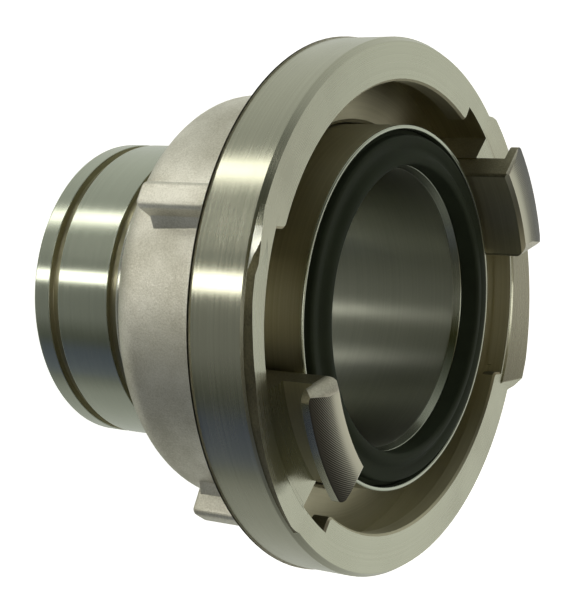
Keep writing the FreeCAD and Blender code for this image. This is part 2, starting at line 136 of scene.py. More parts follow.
floor_corners = np.array([[-1, -1, 0], [1, -1, 0], [1, 1, 0], [-1, 1, 0]]) * FLOOR_HALF
floor = mesh_object("floor", floor_corners, [[0, 1, 2, 3]])
floor_paint, tree = blank_material("matt_floor_paint")
path = add(tree, "ShaderNodeLightPath")
matt = add(tree, "ShaderNodeBsdfDiffuse", {"Color": linear(FLOOR_COLOUR)})
seen = add(
    tree,
    "ShaderNodeMath",
    {0: path.outputs["Is Camera Ray"], 1: FLOOR_GLOW},
    operation="MULTIPLY",
)
glow = add(tree, "ShaderNodeEmission", {"Color": linear(FLOOR_COLOUR), "Strength": seen.outputs[0]})
lit = add(tree, "ShaderNodeAddShader", {0: matt.outputs[0], 1: glow.outputs[0]})
clear = add(tree, "ShaderNodeBsdfTransparent")
through = add(
    tree,
    "ShaderNodeMath",
    {0: path.outputs["Is Glossy Ray"], 1: path.outputs["Is Shadow Ray"]},
    operation="MAXIMUM",
)
shown = add(
    tree,
    "ShaderNodeMixShader",
    {0: through.outputs[0], 1: lit.outputs[0], 2: clear.outputs[0]},
)
add(tree, "ShaderNodeOutputMaterial", {"Surface": shown.outputs[0]})
floor.data.materials.append(floor_paint)

room = bpy.data.worlds.new("pale_room")
room.use_nodes = True
tree = room.node_tree
tree.nodes.clear()
path = add(tree, "ShaderNodeLightPath")
way = add(tree, "ShaderNodeTexCoord")
share = add(
    tree,
    "ShaderNodeVectorMath",
    {0: way.outputs["Generated"], 1: BRIGHT_WAY.normalized()},
    operation="DOT_PRODUCT",
)
light = add(
    tree,
    "ShaderNodeMapRange",
    {"Value": share.outputs["Value"], "From Min": -1.0, "To Min": ROOM_DARK, "To Max": ROOM_BRIGHT},
)
height = add(tree, "ShaderNodeSeparateXYZ", {0: way.outputs["Generated"]})
overhead = add(
    tree,
    "ShaderNodeMapRange",
    {
        "Value": height.outputs[2],
        "From Min": TOP_START,
        "From Max": TOP_END,
        "To Min": 1.0,
        "To Max": ROOM_TOP,
    },
)
shaded = add(tree, "ShaderNodeMath", {0: light.outputs[0], 1: overhead.outputs[0]}, operation="MULTIPLY")
total = add(
    tree,
    "ShaderNodeVectorMath",
    {0: linear(ROOM_COLOUR)[:3], "Scale": shaded.outputs[0]},
    operation="SCALE",
)
for name, azimuth, rise, full, gone, strength, colour in PATCHES:
    facing = add(
        tree,
        "ShaderNodeVectorMath",
        {0: way.outputs["Generated"], 1: direction(azimuth, rise)},
        operation="DOT_PRODUCT",
        label=name,
    )
    share = add(
        tree,
        "ShaderNodeMapRange",
        {
            "Value": facing.outputs["Value"],
            "From Min": math.cos(math.radians(gone)),
            "From Max": math.cos(math.radians(full)),
        },
        interpolation_type="SMOOTHSTEP",
    )
    total = add(
        tree,
        "ShaderNodeVectorMath",
        {0: share.outputs[0], 1: Vector(linear(colour)[:3]) * strength, 2: total.outputs[0]},
        operation="MULTIPLY_ADD",
    )
seen = add(
    tree,
    "ShaderNodeMix",
    {0: path.outputs["Is Camera Ray"], 6: total.outputs[0], 7: linear(ROOM_SEEN)},
    data_type="RGBA",
)
air = add(tree, "ShaderNodeBackground", {"Color": seen.outputs[2], "Strength": 1.0})
add(tree, "ShaderNodeOutputWorld", {"Surface": air.outputs[0]})
bpy.context.scene.world = room


# Lamps
# Tall soft strips, which draw one bright band each along everything that is turned, and a low
# strip that glints on the start of the left ear.
LAMP_TARGET = Vector((0, 0, 0.05))

# Name, direction and height of the middle, distance, width, height, power and colour
LAMPS = [
    ("front_strip", 168.5, -30.0, 1.2, 0.135, 1.3, 2.0, "#FFFDF6"),
    ("side_strip", 121.0, -30.0, 1.2, 0.16, 1.3, 2.0, "#FFFDF6"),
    ("window_strip", -125.0, -20.0, 1.2, 0.48, 1.6, 0.26, "#4468D8"),
    ("ear_glint", 148.4, -11.6, 1.2, 0.36, 0.16, 0.8, "#FFFDF6"),
]

for name, azimuth, rise, distance, width, height, power, colour in LAMPS:
    away = direction(azimuth, rise)
    strip = bpy.data.lights.new(name, "AREA")
    strip.shape = "RECTANGLE"
    strip.size = width
    strip.size_y = height
    strip.energy = power
    strip.color = linear(colour)[:3]
    lamp = bpy.data.objects.new(name, strip)
    lamp.location = LAMP_TARGET + away * distance
    lamp.rotation_euler = away.to_track_quat("Z", "Y").to_euler()
    lamp.visible_camera = False
    bpy.context.collection.objects.link(lamp)


# Hose tail
# One piece turned from stainless bar: spigot with a ferrule groove and a ring groove, then the
# collar that carries the seal. Its edges are broken by a touch of the file.
TAIL_R = 37.0 * MM
BORE_R = 32.9 * MM
HOSE_GROOVE_Z = 4.8 * MM
HOSE_GROOVE_W = 2.8 * MM
HOSE_GROOVE_DEPTH = 1.7 * MM
RING_GROOVE_Z = 22.9 * MM
RING_GROOVE_W = 5.5 * MM
RING_GROOVE_DEPTH = 1.4 * MM
COLLAR_R = 42.85 * MM
COLLAR_Z = 37.9 * MM
COLLAR_TOP_Z = 82.0 * MM
BORE_LIP_R = 33.8 * MM
BORE_LIP_Z = 79.2 * MM
BORE_LIP_BEVEL = 2.0 * MM
SEAT_R = 41.85 * MM
SEAT_FLOOR_Z = 76.0 * MM
SEAT_INNER_R = 35.6 * MM
EDGE_SOFT = 0.22 * MM
EDGE_ROUND = 0.6 * MM
RIM_ROUND = 0.45 * MM
CORNER_STEPS = 5
CORNER_SHARE = 0.45
TURNED_STEPS = 480
TOOL_DRIFT = 0.35


def rounded(corners, radii):
    """A closed outline in (r, z) whose corners are parabolas that start and end along their sides.

    Point(s) = (1-s)^2 P0 + 2 s (1-s) P + s^2 P1, with P0 and P1 on the two sides, a radius away
    or less where a side is short. Returns the points and, for each, the direction out of the piece.
    """
    corners = np.array(corners)
    radii = np.array(radii)[:, None]
    before = np.roll(corners, 1, axis=0) - corners
    after = np.roll(corners, -1, axis=0) - corners
    before_length = np.linalg.norm(before, axis=1, keepdims=True)
    after_length = np.linalg.norm(after, axis=1, keepdims=True)
    reach = np.minimum(radii, CORNER_SHARE * np.minimum(before_length, after_length))
    start = before / before_length * reach
    end = after / after_length * reach
    s = np.linspace(0, 1, CORNER_STEPS)[None, :, None]
    points = corners[:, None] + (1 - s) ** 2 * start[:, None] + s ** 2 * end[:, None]
    along = 2 * s * end[:, None] - 2 * (1 - s) * start[:, None]
    along /= np.linalg.norm(along, axis=2, keepdims=True)
    out = np.stack([along[..., 1], -along[..., 0]], axis=2)
    return points.reshape(-1, 2), out.reshape(-1, 2)


def turned_piece(name, points, out):
    """A closed outline carried round the axis: (r cos a, r sin a, z), with a from 0 to 360 degrees."""
    angles = np.arange(TURNED_STEPS) * 2 * np.pi / TURNED_STEPS
    rows = len(points)
    r, z = points[:, :1], points[:, 1:]
    places = np.stack([r * np.cos(angles), r * np.sin(angles), z + 0 * angles], axis=2)
    out_r, out_z = out[:, :1], out[:, 1:]
    normals = np.stack([out_r * np.cos(angles), out_r * np.sin(angles), out_z + 0 * angles], axis=2)
    row, step = np.meshgrid(np.arange(rows), np.arange(TURNED_STEPS), indexing="ij")
    next_row, next_step = (row + 1) % rows, (step + 1) % TURNED_STEPS
    corners = [(row, step), (row, next_step), (next_row, next_step), (next_row, step)]
    faces = np.stack([i * TURNED_STEPS + j for i, j in corners], axis=2).reshape(-1, 4)
    piece = mesh_object(name, places.reshape(-1, 3), faces.tolist())
    piece.data.polygons.foreach_set("use_smooth", np.ones(len(faces), bool))
    piece.data.normals_split_custom_set_from_vertices(normals.reshape(-1, 3).tolist())
    return piece


def turned_places(tree):
    """Object coordinates of a turned piece: radius, height and the direction round the axis."""
    place = add(tree, "ShaderNodeTexCoord")
    split = add(tree, "ShaderNodeSeparateXYZ", {0: place.outputs["Object"]})
    flat = add(tree, "ShaderNodeCombineXYZ", {0: split.outputs[0], 1: split.outputs[1]})
    radius = add(tree, "ShaderNodeVectorMath", {0: flat.outputs[0]}, operation="LENGTH")
    way = add(tree, "ShaderNodeVectorMath", {0: flat.outputs[0]}, operation="NORMALIZE")
    return place.outputs["Object"], radius.outputs["Value"], split.outputs[2], way.outputs[0]


def turned_directions(tree, way):
    """The normal that an exact turned surface has here, and the direction in which the tool cut it.

    With w the unit direction away from the axis and n the normal of the mesh, the exact normal is
    w (n . w) + z (n . z) made one long, and the cut runs along z x w.
    """
    place = add(tree, "ShaderNodeTexCoord")
    outwards = add(
        tree,
        "ShaderNodeVectorMath",
        {0: place.outputs["Normal"], 1: way},
        operation="DOT_PRODUCT",
    )
    radial = add(
        tree,
        "ShaderNodeVectorMath",
        {0: way, "Scale": outwards.outputs["Value"]},
        operation="SCALE",
    )
    split = add(tree, "ShaderNodeSeparateXYZ", {0: place.outputs["Normal"]})
    axial = add(tree, "ShaderNodeCombineXYZ", {2: split.outputs[2]})
    total = add(tree, "ShaderNodeVectorMath", {0: radial.outputs[0], 1: axial.outputs[0]})
    normal = add(
        tree,
        "ShaderNodeVectorTransform",
        {0: total.outputs[0]},
        vector_type="NORMAL",
        convert_from="OBJECT",
        convert_to="WORLD",
    )
    cross = add(
        tree,
        "ShaderNodeVectorMath",
        {0: Vector((0, 0, 1)), 1: way},
        operation="CROSS_PRODUCT",
    )
    tangent = add(
        tree,
        "ShaderNodeVectorTransform",
        {0: cross.outputs[0]},
        vector_type="VECTOR",
        convert_from="OBJECT",
        convert_to="WORLD",
    )
    return normal.outputs[0], tangent.outputs[0]


def tool_lines(tree, radius, height, way, pitch, drift):
    """Noise that changes with radius and height over one pitch, and only slowly round the axis."""
    along = add(tree, "ShaderNodeCombineXYZ", {0: radius, 1: height})
    fine = add(tree, "ShaderNodeVectorMath", {0: along.outputs[0], "Scale": 1 / pitch}, operation="SCALE")
    slow = add(tree, "ShaderNodeVectorMath", {0: way, "Scale": drift}, operation="SCALE")
    slow_split = add(tree, "ShaderNodeSeparateXYZ", {0: slow.outputs[0]})
    lifted = add(tree, "ShaderNodeCombineXYZ", {2: slow_split.outputs[0]})
    at = add(tree, "ShaderNodeVectorMath", {0: fine.outputs[0], 1: lifted.outputs[0]})
    return add(
        tree,
        "ShaderNodeTexNoise",
        {"Vector": at.outputs[0], "W": slow_split.outputs[1], "Scale": 1.0, "Detail": 2.0},
        noise_dimensions="4D",
    )


def turned_steel(name, colour, dark, rough_low, rough_high, pitch, depth, exact=True):
    """Turned and polished stainless steel: fine tool marks round the axis spread each light along it.

    A face that isn't turned round the axis has exact False, and keeps the normal of its mesh.
    """
    steel, tree = blank_material(name)
    place, radius, height, way = turned_places(tree)
    lines = tool_lines(tree, radius, height, way, pitch, TOOL_DRIFT)
    smear = add(tree, "ShaderNodeTexNoise", {"Vector": place, "Scale": 90.0, "Detail": 3.0})
    tone = add(
        tree,
        "ShaderNodeMix",
        {0: lines.outputs[0], 6: linear(dark), 7: linear(colour)},
        data_type="RGBA",
    )
    mixed = add(tree, "ShaderNodeMath", {0: lines.outputs[0], 1: smear.outputs[0]})
    rough = add(
        tree,
        "ShaderNodeMapRange",
        {
            "Value": mixed.outputs[0],
            "From Min": 0.6,
            "From Max": 1.4,
            "To Min": rough_low,
            "To Max": rough_high,
        },
    )
    round_normal, round_tangent = turned_directions(tree, way)
    marks = {"Height": lines.outputs[0], "Distance": depth, "Strength": 1.0}
    if exact:
        marks["Normal"] = round_normal
    bump = add(tree, "ShaderNodeBump", marks)
    shader = add(
        tree,
        "ShaderNodeBsdfPrincipled",
        {
            "Base Color": tone.outputs[2],
            "Metallic": 1.0,
            "Roughness": rough.outputs[0],
            "Anisotropic": 0.9,
            "Anisotropic Rotation": 0.25,
            "Tangent": round_tangent,
            "Normal": bump.outputs[0],
        },
    )
    add(tree, "ShaderNodeOutputMaterial", {"Surface": shader.outputs[0]})
    return steel


hose_groove_r = TAIL_R - HOSE_GROOVE_DEPTH
ring_groove_r = TAIL_R - RING_GROOVE_DEPTH
tail_outline = [
    (BORE_R, 0, EDGE_ROUND),
    (TAIL_R, 0, EDGE_ROUND),
    (TAIL_R, HOSE_GROOVE_Z, EDGE_SOFT),
    (hose_groove_r, HOSE_GROOVE_Z, EDGE_SOFT),
    (hose_groove_r, HOSE_GROOVE_Z + HOSE_GROOVE_W, EDGE_SOFT),
    (TAIL_R, HOSE_GROOVE_Z + HOSE_GROOVE_W, EDGE_SOFT),
    (TAIL_R, RING_GROOVE_Z, EDGE_SOFT),
    (ring_groove_r, RING_GROOVE_Z, EDGE_SOFT),
    (ring_groove_r, RING_GROOVE_Z + RING_GROOVE_W, EDGE_SOFT),
    (TAIL_R, RING_GROOVE_Z + RING_GROOVE_W, EDGE_SOFT),
    (TAIL_R, COLLAR_Z, EDGE_SOFT),
    (COLLAR_R, COLLAR_Z, EDGE_SOFT),
    (COLLAR_R, COLLAR_TOP_Z, RIM_ROUND),
    (SEAT_R, COLLAR_TOP_Z, RIM_ROUND),
    (SEAT_R, SEAT_FLOOR_Z, EDGE_SOFT),
    (SEAT_INNER_R, SEAT_FLOOR_Z, EDGE_SOFT),
    (SEAT_INNER_R, BORE_LIP_Z, EDGE_SOFT),
    (BORE_LIP_R, BORE_LIP_Z, EDGE_SOFT),
    (BORE_R, BORE_LIP_Z - BORE_LIP_BEVEL, EDGE_SOFT),
]
tail_points, tail_out = rounded([row[:2] for row in tail_outline], [row[2] for row in tail_outline])
hose_tail = turned_piece("turned_hose_tail", tail_points, tail_out)

# The bore is only drilled and reamed, and the grooves and the collar's wall keep their tool marks
between = (tail_points + np.roll(tail_points, -1, axis=0)) / 2
POLISHED, REAMED, ROUGHED = 0, 1, 2
tail_finish = np.full(len(between), POLISHED)
tail_finish[between[:, 0] < BORE_R + EDGE_SOFT] = REAMED
on_spigot = between[:, 1] < COLLAR_Z
in_groove = (between[:, 0] > BORE_LIP_R) & (between[:, 0] < TAIL_R - EDGE_ROUND)
collar_wall = (between[:, 0] > COLLAR_R - EDGE_SOFT) & (between[:, 1] < COLLAR_TOP_Z - RIM_ROUND)
tail_finish[on_spigot & in_groove] = ROUGHED
tail_finish[~on_spigot & collar_wall] = ROUGHED
hose_tail.data.polygons.foreach_set("material_index", np.repeat(tail_finish, TURNED_STEPS))
hose_tail.data.materials.append(
    turned_steel("polished_turned_stainless", "#C4C9B8", "#B0B5A4", 0.18, 0.26, 0.32 * MM, 0.001 * MM)
)
# The bore's reamed steel is rougher, and its darker colour is painted shade inside the hollow
hose_tail.data.materials.append(
    turned_steel("reamed_bore_painted_shade", "#B4B6A9", "#9FA194", 0.32, 0.42, 0.4 * MM, 0.0015 * MM)
)
hose_tail.data.materials.append(
    turned_steel("rough_turned_stainless", "#C9C5A8", "#A5A183", 0.34, 0.48, 0.4 * MM, 0.003 * MM)
)
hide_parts("hose_tail")
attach(hose_tail, "tail")


# Seal
# Moulded black rubber lip seal, pressed into the undercut of the collar: a round bead outside, a
# shallow valley and a broad lip that stands a little higher at the bore.
SEAL_PLAY = 0.1 * MM
SEAL_BORE_R = 33.7 * MM
SEAL_TOP_Z = 84.0 * MM
BEAD_TOP_Z = 83.0 * MM
BEAD_OUTER_R = 40.5 * MM
VALLEY_R = 37.2 * MM
VALLEY_Z = 82.6 * MM
BEAD_FOOT_Z = 80.8 * MM
RUBBER_ROUND = 0.8 * MM
RUBBER_SOFT = 0.3 * MM
RUBBER_BULGE = 1.5 * MM

seal_head_r = SEAT_R - SEAL_PLAY
seal_outline = [
    (SEAL_BORE_R, BORE_LIP_Z + SEAL_PLAY, RUBBER_SOFT),
    (SEAT_INNER_R + SEAL_PLAY, BORE_LIP_Z + SEAL_PLAY, RUBBER_SOFT),
    (SEAT_INNER_R + SEAL_PLAY, SEAT_FLOOR_Z + SEAL_PLAY, RUBBER_SOFT),
    (seal_head_r, SEAT_FLOOR_Z + SEAL_PLAY, RUBBER_SOFT),
    (seal_head_r, BEAD_FOOT_Z - RUBBER_ROUND, RUBBER_SOFT),
    (BEAD_OUTER_R, BEAD_FOOT_Z, RUBBER_SOFT),
    (BEAD_OUTER_R, BEAD_TOP_Z, RUBBER_BULGE),
    (VALLEY_R + RUBBER_BULGE, BEAD_TOP_Z, RUBBER_BULGE),
    (VALLEY_R, VALLEY_Z, RUBBER_ROUND),
    (VALLEY_R - RUBBER_BULGE, SEAL_TOP_Z, RUBBER_BULGE),
    (SEAL_BORE_R, SEAL_TOP_Z, RUBBER_ROUND),
]
seal_points, seal_out = rounded([row[:2] for row in seal_outline], [row[2] for row in seal_outline])
seal = turned_piece("moulded_lip_seal", seal_points, seal_out)

rubber, tree = blank_material("moulded_black_rubber")
place = add(tree, "ShaderNodeTexCoord").outputs["Object"]
bloom = add(tree, "ShaderNodeTexNoise", {"Vector": place, "Scale": 140.0, "Detail": 5.0})
pores = add(tree, "ShaderNodeTexNoise", {"Vector": place, "Scale": 2600.0, "Detail": 2.0})
tone = add(
    tree,
    "ShaderNodeMix",
    {0: bloom.outputs[0], 6: linear("#2B3126"), 7: linear("#404839")},
    data_type="RGBA",
)
rough = add(
    tree,
    "ShaderNodeMapRange",
    {"Value": bloom.outputs[0], "From Min": 0.3, "From Max": 0.7, "To Min": 0.58, "To Max": 0.72},
)
bump = add(tree, "ShaderNodeBump", {"Height": pores.outputs[0], "Distance": 0.01 * MM, "Strength": 1.0})
shader = add(
    tree,
    "ShaderNodeBsdfPrincipled",
    {
        "Base Color": tone.outputs[2],
        "Roughness": rough.outputs[0],
        "IOR": 1.52,
        "Specular IOR Level": 0.1,
        "Normal": bump.outputs[0],
    },
)
add(tree, "ShaderNodeOutputMaterial", {"Surface": shader.outputs[0]})
seal.data.materials.append(rubber)
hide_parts("seal")
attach(seal, "tail")


# Retaining ring
# Open ring bent from round stainless spring wire, snapped into its groove behind the lug ring.
WIRE_R = 1.2 * MM
WIRE_CENTRE_R = 36.9 * MM
WIRE_CENTRE_Z = 27.1 * MM
WIRE_GAP = math.radians(8.0)
WIRE_STEPS = 300
WIRE_SIDES = 24
WIRE_END_STEPS = 6
WIRE_END_LENGTH = 0.35
WIRE_END_PAST = 1.2
WIRE_TIP = 0.55

# Wire: a circle carried round the axis. At a cut end its radius is the wire's times
# tip + (1 - tip) sin e, with e from 0 to a quarter turn, and it moves on by 1 - cos e
end = np.linspace(0, np.pi / 2, WIRE_END_STEPS, endpoint=False)
end_turn = (1 - np.cos(end)) * WIRE_R / WIRE_CENTRE_R * WIRE_END_LENGTH
end_width = WIRE_TIP + (1 - WIRE_TIP) * np.sin(end)
whole_turn = 2 * np.pi - WIRE_GAP
run_start = end_turn[-1] * WIRE_END_PAST
run = np.linspace(run_start, whole_turn - run_start, WIRE_STEPS)
turns = np.concatenate([end_turn, run, (whole_turn - end_turn)[::-1]]) + WIRE_GAP / 2
widths = np.concatenate([end_width, np.ones(WIRE_STEPS), end_width[::-1]]) * WIRE_R
around = np.arange(WIRE_SIDES) * 2 * np.pi / WIRE_SIDES
wire_r = WIRE_CENTRE_R + widths[:, None] * np.cos(around)
wire_z = WIRE_CENTRE_Z + widths[:, None] * np.sin(around)
wire_points = np.stack([wire_r * np.cos(turns[:, None]), wire_r * np.sin(turns[:, None]), wire_z], axis=2)
row, side = np.meshgrid(np.arange(len(turns) - 1), np.arange(WIRE_SIDES), indexing="ij")
next_side = (side + 1) % WIRE_SIDES
corners = [(row, side), (row + 1, side), (row + 1, next_side), (row, next_side)]
wire_faces = np.stack([i * WIRE_SIDES + j for i, j in corners], axis=2).reshape(-1, 4)
first_end = np.arange(WIRE_SIDES)
last_end = (len(turns) - 1) * WIRE_SIDES + np.arange(WIRE_SIDES)[::-1]
wire_faces = wire_faces.tolist() + [first_end.tolist(), last_end.tolist()]
wire_ring = mesh_object("bent_wire_ring", wire_points.reshape(-1, 3), wire_faces)
wire_ring.data.polygons.foreach_set("use_smooth", np.ones(len(wire_faces), bool))
wire_ring.data.materials.append(
    turned_steel("drawn_stainless_wire", "#C8C9BF", "#A6A69A", 0.2, 0.32, 0.5 * MM, 0.001 * MM)
)
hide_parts("retaining_ring")
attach(wire_ring, "tail")


# Lug ring
# Investment casting in stainless steel, blasted all over, then turned on the rim, the face, the
# lips and the recess, and milled on the hooks of its two claws.
CAST_END_Z = 67.1 * MM
COUNTERBORE_R = 43.35 * MM
FACE_R = 62.05 * MM
FLANGE_R = 63.0 * MM
FACE_Z = 81.55 * MM
CLAW_R = 44.6 * MM
HOOK_R = 55.8 * MM
HOOK_LAND_R = 47.8 * MM
OPENING_R = 56.5 * MM
RECESS_R = 57.0 * MM
CLAW_END_DEG = 43.9
EAR_START_DEG = -24.6
# The patch of painted highlight on the left ear's start: its reach in degrees, and its slant with height
EAR_HIGHLIGHT_DEG = 13.0
EAR_HIGHLIGHT_SLANT = 3.0
EAR_FOOT_R = 62.6 * MM
EAR_FOOT_Z = 80.65 * MM
EAR_SUNK = 0.4 * MM
EAR_LEAST = 0.02 * MM
EAR_OFF_WALL = 0.02 * MM
EAR_BEVEL = 6
EAR_STEPS = 240
EAR_COLUMNS = 22
EAR_SIDE_ROWS = 10

# Each ear: where its ramp starts, what it rises by each degree, the part of its height that stands
# at its inner bevel, and rows of degrees from its start, height, outer radius and inner radius in mm
RIGHT_RAMP_DEG = 0.2
RIGHT_EAR_RISE = 0.85 * MM
RIGHT_EAR_LIFT = 0.1
RIGHT_EAR = [
    (0.0, 2.9, 62.1, 57.4),
    (1.5, 2.9, 63.2, 57.3),
    (8.3, 2.85, 63.6, 57.3),
    (27.6, 2.0, 63.6, 57.3),
    (64.6, 0.7, 63.5, 57.2),
    (69.4, 0.6, 63.3, 57.2),
    (70.7, 0.4, 62.8, 57.2),
    (71.7, 0.0, 62.1, 57.2),
]
LEFT_RAMP_DEG = 0.5
LEFT_EAR_RISE = 0.15 * MM
LEFT_EAR_LIFT = 0.4
LEFT_EAR = [
    (0.0, 1.7, 62.1, 61.9),
    (6.0, 1.7, 62.15, 59.8),
    (9.0, 1.7, 62.25, 58.2),
    (12.0, 1.7, 62.7, 57.4),
    (14.0, 1.7, 63.4, 57.3),
    (18.6, 1.8, 63.6, 57.3),
    (25.6, 2.2, 63.6, 57.3),
    (33.6, 2.5, 63.6, 57.3),
    (67.5, 0.75, 63.4, 57.2),
    (69.5, 0.55, 63.0, 57.2),
    (71.7, 0.0, 62.1, 57.2),
]

# The hooks' ridges: how far inside the hook's edge they start and are whole, how far outside the
# land they begin to fade, how far inside it they end, and how much painted shade they lay on the tone
RIDGES_START = 0.6 * MM
RIDGES_WHOLE = 3.5 * MM
RIDGES_FADE = 1.5 * MM
RIDGES_END = 0.5 * MM
RIDGE_SHADE = 0.45

TOUCH = 0.15 * MM
CAST_EDGE_ROUND = 0.3 * MM
SHARP_ANGLE = math.radians(28)


def blasted_casting(name, colour, dark, grain, depth, metal):
    """Investment cast stainless, bead blasted: matt, with grains that catch the light one by one."""
    cast, tree = blank_material(name)
    place = add(tree, "ShaderNodeTexCoord").outputs["Object"]
    grains = add(
        tree,
        "ShaderNodeTexNoise",
        {"Vector": place, "Scale": 1 / grain, "Detail": 3.0, "Roughness": 0.7},
    )
    cloud = add(tree, "ShaderNodeTexNoise", {"Vector": place, "Scale": 60.0, "Detail": 3.0})
    weight = add(
        tree,
        "ShaderNodeMath",
        {0: grains.outputs[0], 1: 0.6, 2: cloud.outputs[0]},
        operation="MULTIPLY_ADD",
    )
    share = add(
        tree,
        "ShaderNodeMapRange",
        {"Value": weight.outputs[0], "From Min": 0.6, "From Max": 1.0},
    )
    tone = add(
        tree,
        "ShaderNodeMix",
        {0: share.outputs[0], 6: linear(dark), 7: linear(colour)},
        data_type="RGBA",
    )
    rough = add(
        tree,
        "ShaderNodeMapRange",
        {"Value": grains.outputs[0], "From Min": 0.3, "From Max": 0.7, "To Min": 0.54, "To Max": 0.42},
    )
    bump = add(tree, "ShaderNodeBump", {"Height": grains.outputs[0], "Distance": depth, "Strength": 1.0})
    shader = add(
        tree,
        "ShaderNodeBsdfPrincipled",
        {
            "Base Color": tone.outputs[2],
            "Metallic": metal,
            "Roughness": rough.outputs[0],
            "Normal": bump.outputs[0],
        },
    )
    add(tree, "ShaderNodeOutputMaterial", {"Surface": shader.outputs[0]})
    return cast


def ridged_steel(name, colour, dark, rough, pitch, slant, depth):
    """Milled stainless: the cutter's ridges cross the hook aslant, and fade out at its edges.

    With t the way round at the hook's radius and r the radius, the height of the surface is
    (1 + sin(2 pi (t + slant r) / pitch)) / 2 of the depth, times a share that is 0 at both edges.
    """
    steel, tree = blank_material(name)
    place, radius = turned_places(tree)[:2]
    split = add(tree, "ShaderNodeSeparateXYZ", {0: place})
    turn = add(tree, "ShaderNodeMath", {0: split.outputs[1], 1: split.outputs[0]}, operation="ARCTAN2")
    arc = add(tree, "ShaderNodeMath", {0: turn.outputs[0], 1: HOOK_R}, operation="MULTIPLY")
    across = add(
        tree,
        "ShaderNodeMath",
        {0: radius, 1: slant, 2: arc.outputs[0]},
        operation="MULTIPLY_ADD",
    )
    phase = add(
        tree,
        "ShaderNodeMath",
        {0: across.outputs[0], 1: 2 * math.pi / pitch},
        operation="MULTIPLY",
    )
    wave = add(tree, "ShaderNodeMath", {0: phase.outputs[0]}, operation="SINE")
    ridge = add(tree, "ShaderNodeMapRange", {"Value": wave.outputs[0], "From Min": -1.0})
    # Painted shade: the hook's colour darkens from the claw out to the hook's edge, and again on the
    # ridges' crests
    painted_shade_inwards = add(tree, "ShaderNodeMapRange", {"Value": radius, "From Min": HOOK_R, "From Max": CLAW_R})
    start = add(
        tree,
        "ShaderNodeMapRange",
        {"Value": radius, "From Min": HOOK_R - RIDGES_START, "From Max": HOOK_R - RIDGES_WHOLE},
    )
    end = add(
        tree,
        "ShaderNodeMapRange",
        {"Value": radius, "From Min": HOOK_LAND_R - RIDGES_END, "From Max": HOOK_LAND_R + RIDGES_FADE},
    )
    share = add(tree, "ShaderNodeMath", {0: start.outputs[0], 1: end.outputs[0]}, operation="MULTIPLY")
    cut = add(tree, "ShaderNodeMath", {0: ridge.outputs[0], 1: share.outputs[0]}, operation="MULTIPLY")
    painted_shade_tone = add(
        tree,
        "ShaderNodeMath",
        {0: cut.outputs[0], 1: -RIDGE_SHADE, 2: painted_shade_inwards.outputs[0]},
        operation="MULTIPLY_ADD",
    )
    tone = add(
        tree,
        "ShaderNodeMix",
        {0: painted_shade_tone.outputs[0], 6: linear(dark), 7: linear(colour)},
        data_type="RGBA",
    )
    bump = add(tree, "ShaderNodeBump", {"Height": cut.outputs[0], "Distance": depth, "Strength": 1.0})
    shader = add(
        tree,
        "ShaderNodeBsdfPrincipled",
        {"Base Color": tone.outputs[2], "Metallic": 1.0, "Roughness": rough, "Normal": bump.outputs[0]},
    )
    add(tree, "ShaderNodeOutputMaterial", {"Surface": shader.outputs[0]})
    return steel


ring_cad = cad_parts["lug_ring"].data
corner_count = len(ring_cad.loops)
ring_points = np.empty(len(ring_cad.vertices) * 3)
ring_cad.vertices.foreach_get("co", ring_points)
ring_points = ring_points.reshape(-1, 3)
ring_faces = np.empty(corner_count, int)
ring_cad.loops.foreach_get("vertex_index", ring_faces)
ring_faces = ring_faces.reshape(-1, 3)

# Corners that share a place become one point, and faces that have no area left are dropped
WELD = 0.001 * MM
weld_cell = np.round(ring_points / WELD).astype(int)
_, keep, same = np.unique(weld_cell, axis=0, return_index=True, return_inverse=True)
ring_faces = same.reshape(-1)[ring_faces]
whole = (
    (ring_faces[:, 0] != ring_faces[:, 1])
    & (ring_faces[:, 1] != ring_faces[:, 2])
    & (ring_faces[:, 2] != ring_faces[:, 0])
)
ring_faces = ring_faces[whole]
ring_points = ring_points[keep]

# The plain ears are taken off, and the walls of the openings end at the face
corner_r = np.linalg.norm(ring_points[ring_faces][:, :, :2], axis=2)
corner_z = ring_points[ring_faces][:, :, 2]
ear_top = (corner_z.max(axis=1) > FACE_Z + EAR_LEAST) & (corner_r.max(axis=1) > OPENING_R + TOUCH)
ear_top &= corner_z.min(axis=1) > FACE_Z - TOUCH
ear_wall = corner_r.min(axis=1) > FLANGE_R + TOUCH
ear_foot = (corner_r.max(axis=1) > FLANGE_R + EAR_LEAST) & (corner_z.min(axis=1) > EAR_FOOT_Z - TOUCH)
ring_faces = ring_faces[~(ear_top | ear_wall | ear_foot)]
on_opening = np.linalg.norm(ring_points[:, :2], axis=1) > OPENING_R - TOUCH
ring_points[on_opening, 2] = np.minimum(ring_points[on_opening, 2], FACE_Z)


